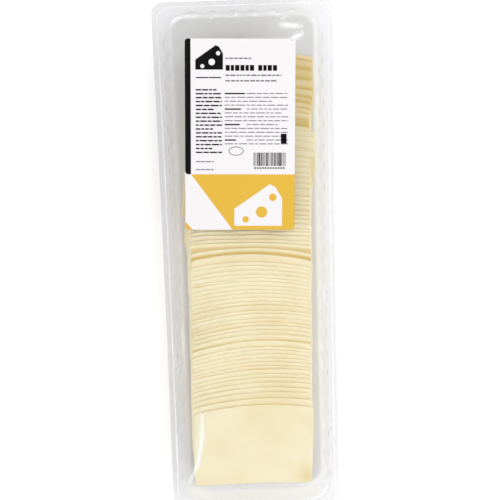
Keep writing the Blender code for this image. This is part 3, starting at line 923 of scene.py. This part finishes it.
def slice_places(group):
    """Where and how each slice lies, with small seeded differences from slice to slice."""
    rng = np.random.default_rng(83)
    edges, heights, slopes = fan_slices(group)
    droops = slice_droops(group, edges, heights, slopes)
    feet = np.maximum(heights - group.length * np.sin(slopes), 0.0)
    table = np.array(FAN_BOW) * MM
    sag, tilt, middle, swing = (np.interp(-edges, -table[:, 0], table[:, k]) for k in (1, 2, 3, 4))
    index = np.arange(COUNT)
    middle = middle + SHIFT * ((index >= SHIFTED[0]) & (index <= SHIFTED[1]))
    shown = np.append(-np.diff(edges), group.length)
    # Painted shade for whole strips: a wider strip with a deeper groove, the labelled end where less light
    # falls, and the strips past it are deeper in colour; a little seeded drift is added.
    painted_shade_and_drift = np.clip(0.1 * (shown / USUAL_STEP - 1.0), -0.08, 0.12) * (shown < 10 * MM)
    painted_shade_and_drift += END_SHADE * (1.0 - smooth_step(index, 4, 14)) + rng.normal(0.0, 0.03, COUNT)
    painted_shade_and_drift += PAST_END_SHADE * smooth_step(index, 12, 18) * (1.0 - smooth_step(index, 33, 38))
    in_middle = (index >= MIDDLE_STRIPS[0]) & (index <= MIDDLE_STRIPS[1])
    usual_shade = np.where(in_middle, MIDDLE_GROOVE_SHADE, USUAL_GROOVE_SHADE)
    painted_shade_and_drift[list(SHADED_SLICES)] += list(SHADED_SLICES.values())
    painted_shade_and_drift[-1] = LAST_SHADE
    measures = {"edge": edges, "height": heights, "slope": slopes, "foot": feet, "droop": droops,
                "sag": sag, "shown": shown, "painted_shade_and_drift": painted_shade_and_drift}
    places = []
    for k in range(COUNT):
        place = {name: values[k] for name, values in measures.items()}
        place["length"] = group.length
        place["half"] = group.width / 2.0
        place["middle"] = middle[k] + rng.normal(0.0, 0.38 * MM)
        place["swing"] = swing[k] + rng.normal(0.0, 0.3 * MM)
        place["tilt"] = tilt[k] + rng.normal(0.0, 0.12 * MM)
        place["ripple"] = rng.normal(0.0, 0.16 * MM)
        place["phase"] = rng.uniform(0.0, 6.28)
        place["gold"] = GROOVE_SHADE.get(k, usual_shade[k]) * (k < COUNT - 1)
        place["spot"] = SHADE_SPOTS.get(k, (0.0, 0.0, 0.0))
        places.append(place)
    return places


def slice_group(name, group, places, down, columns, material):
    """Lay slices and join them into one piece."""
    parts = [one_slice(group, place, down, columns) for place in places]
    sizes = [len(part[0]) for part in parts]
    starts = np.concatenate([[0], np.cumsum(sizes)[:-1]])
    points = np.vstack([part[0] for part in parts])
    quads = np.vstack([part[1] + start for part, start in zip(parts, starts)])
    gold = np.concatenate([part[2] for part in parts])
    item = make_mesh(name, points, quads, material, {"gold": gold})
    close_up(item, 1e-7)
    return item


def cheese_material(group):
    """Semi-hard cheese, cut by a blade: smooth and slightly moist.

    Its colour runs from fresh cut to the painted shade of a groove with the gold attribute, and drifts a
    little from place to place.  The gloss is soft and uneven, where fat has come to the surface.
    """
    material, tree, output = new_material("blade_cut_semi_hard_cheese")
    place = add_node(tree, "ShaderNodeTexCoord")
    # The gold attribute holds painted shade.
    gold = add_node(tree, "ShaderNodeAttribute", attribute_name="gold")
    drift = add_node(tree, "ShaderNodeTexNoise", Scale=26.0, Detail=2.0,
                     links={"Vector": place.outputs["Object"]})
    centred = multiply_add(tree, drift.outputs[0], 0.7, -0.33, clamp=False)
    amount = add_node(tree, "ShaderNodeMath", operation="ADD", use_clamp=True,
                      links={0: gold.outputs["Fac"], 1: centred})
    colour = mix_colours(tree, amount.outputs[0], group.light, group.deep)
    fat = add_node(tree, "ShaderNodeTexNoise", Scale=95.0, Detail=2.0,
                   links={"Vector": place.outputs["Object"]})
    gloss = add_node(tree, "ShaderNodeMapRange", links={"Value": fat.outputs[0]})
    gloss.inputs["To Min"].default_value = 0.34
    gloss.inputs["To Max"].default_value = 0.56
    body = add_node(tree, "ShaderNodeBsdfPrincipled",
                    links={"Base Color": colour, "Roughness": gloss.outputs[0]})
    body.inputs["Subsurface Weight"].default_value = 0.18
    body.inputs["Subsurface Scale"].default_value = 0.002
    body.inputs["Subsurface Radius"].default_value = (1.0, 0.7, 0.35)
    tree.links.new(body.outputs[0], output.inputs["Surface"])
    return material


class CHEESEPACK_OT_slices(bpy.types.Operator):
    """Build the fan of cheese slices"""
    bl_idname = "cheesepack.slices"
    bl_label = "Build Slices"

    def execute(self, context):
        group = settings("cheesepack_slices")
        material = cheese_material(group)
        places = slice_places(group)
        # Rows of points down a slice that is 78 long: close together at both ends.
        near = [0.0, 0.2, 0.5, 0.9, 1.4, 2.0, 2.6, 3.2, 4.4, 6.0, 8.5]
        far = [72.0, 74.8, 76.0, 77.0, 77.7, 78.0]
        coarse = np.array(near + [12.0, 30.0, 50.0, 64.0] + far) * group.length / far[-1]
        fine = np.array(near + list(np.arange(11.0, 70.0, 2.5)) + far) * group.length / far[-1]
        third = COUNT // 3
        groups = (
            ("slices_labelled_end", places[:third], coarse, 37),
            ("slices_middle", places[third:2 * third], coarse, 37),
            ("slices_open_end", places[2 * third:-1], coarse, 37),
            ("slice_on_top", places[-1:], fine, 61),
        )
        for name, part, down, columns in groups:
            item = slice_group(name, group, part, down, columns, material)
            place_piece(item, "cheese_slices")
        return {"FINISHED"}


# ---- Stage ----------------------------------------------------------------------------------
CAMERA_PLACE = (0.0, 0.2235, 1.3166)
CAMERA_AIM = (0.0006, 0.0104, 0.036)
CAMERA_ROLL = np.radians(-1.725)
CAMERA_LENS = 115.2
WORLD_STRENGTH = 1.14
FLOOR_REACH = 3.0            # metres from the pack's middle to the floor's edges
# Square soft boxes that face the pack: name, place and side in metres, and watts.
SOFT_BOXES = (("key", (1.25, -0.6, 1.35), 1.1, 11.0), ("fill", (0.4, 1.15, 1.0), 0.9, 5.0))


def add_light(name, place, side, power):
    """A square soft box that faces the pack."""
    data = bpy.data.lights.new(name, "AREA")
    data.size = side
    data.energy = power
    item = bpy.data.objects.new(name, data)
    item.location = place
    item.rotation_euler = (-Vector(place)).to_track_quat("-Z", "Y").to_euler()
    bpy.context.scene.collection.objects.link(item)


def add_camera():
    """A long lens over the pack, square to it but for a small lean towards the labelled end."""
    data = bpy.data.cameras.new("camera")
    data.lens = CAMERA_LENS
    data.sensor_width = 36.0
    data.clip_start = 0.01
    data.clip_end = 50.0
    item = bpy.data.objects.new("camera", data)
    forward = (Vector(CAMERA_AIM) - Vector(CAMERA_PLACE)).normalized()
    right = forward.cross(Vector((0.0, 1.0, 0.0))).normalized()
    up = right.cross(forward)
    rolled_right = right * np.cos(CAMERA_ROLL) + up * np.sin(CAMERA_ROLL)
    rolled_up = up * np.cos(CAMERA_ROLL) - right * np.sin(CAMERA_ROLL)
    turned = Matrix((rolled_right, rolled_up, -forward)).transposed().to_4x4()
    item.matrix_world = Matrix.Translation(CAMERA_PLACE) @ turned
    bpy.context.scene.collection.objects.link(item)
    bpy.context.scene.camera = item


def add_floor(group):
    """A plain pale floor under the pack."""
    material, tree, output = new_material("matt_studio_board")
    body = add_node(tree, "ShaderNodeBsdfPrincipled", Roughness=0.9)
    body.inputs["Base Color"].default_value = (*group.floor, 1.0)
    tree.links.new(body.outputs[0], output.inputs["Surface"])
    corners = ((-1, -1), (1, -1), (1, 1), (-1, 1))
    points = [(FLOOR_REACH * x, FLOOR_REACH * y, 0.0) for x, y in corners]
    item = make_mesh("floor", points, [[0, 1, 2, 3]], material, smooth=False)


class CHEESEPACK_OT_stage(bpy.types.Operator):
    """Set the floor, soft lights and camera"""
    bl_idname = "cheesepack.stage"
    bl_label = "Set Stage"

    def execute(self, context):
        scene = context.scene
        scene.view_settings.view_transform = "Standard"
        world = bpy.data.worlds.new("studio")
        scene.world = world
        world.use_nodes = True
        world.node_tree.nodes["Background"].inputs[0].default_value = (1.0, 1.0, 1.0, 1.0)
        world.node_tree.nodes["Background"].inputs[1].default_value = WORLD_STRENGTH
        scene.cycles.transparent_max_bounces = 24
        add_floor(settings("cheesepack_stage"))
        for name, place, side, power in SOFT_BOXES:
            add_light(name, place, side, power)
        add_camera()
        return {"FINISHED"}


class CHEESEPACK_PT_panel(bpy.types.Panel):
    """Buttons and settings for the cheese pack"""
    bl_idname = "CHEESEPACK_PT_panel"
    bl_label = "Cheese Pack"
    bl_space_type = "VIEW_3D"
    bl_region_type = "UI"
    bl_category = "Cheese Pack"

    def draw(self, context):
        for name in GROUPS:
            box = self.layout.box()
            box.operator(name.replace("_", "."))
            values = getattr(context.scene, name)
            for key in values.__annotations__:
                box.prop(values, key)


# Each group of settings; with a dot for the underscore, its name is its operator's.
GROUPS = {
    "cheesepack_slices": SliceSettings,
    "cheesepack_tray": TraySettings,
    "cheesepack_film": FilmSettings,
    "cheesepack_label": LabelSettings,
    "cheesepack_stage": StageSettings,
}
CLASSES = (CHEESEPACK_OT_slices, CHEESEPACK_OT_tray, CHEESEPACK_OT_film, CHEESEPACK_OT_label,
           CHEESEPACK_OT_stage, CHEESEPACK_PT_panel)


def register():
    """Add the settings, operators and panel to Blender."""
    for name, kind in GROUPS.items():
        bpy.utils.register_class(kind)
        setattr(bpy.types.Scene, name, PointerProperty(type=kind))
    for kind in CLASSES:
        bpy.utils.register_class(kind)


def unregister():
    """Take them out again."""
    for kind in reversed(CLASSES):
        bpy.utils.unregister_class(kind)
    for name, kind in GROUPS.items():
        delattr(bpy.types.Scene, name)
        bpy.utils.unregister_class(kind)


def main():
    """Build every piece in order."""
    register()
    bpy.ops.cheesepack.slices()
    bpy.ops.cheesepack.tray()
    bpy.ops.cheesepack.film()
    bpy.ops.cheesepack.label()
    bpy.ops.cheesepack.stage()


if __name__ == "__main__":
    main()
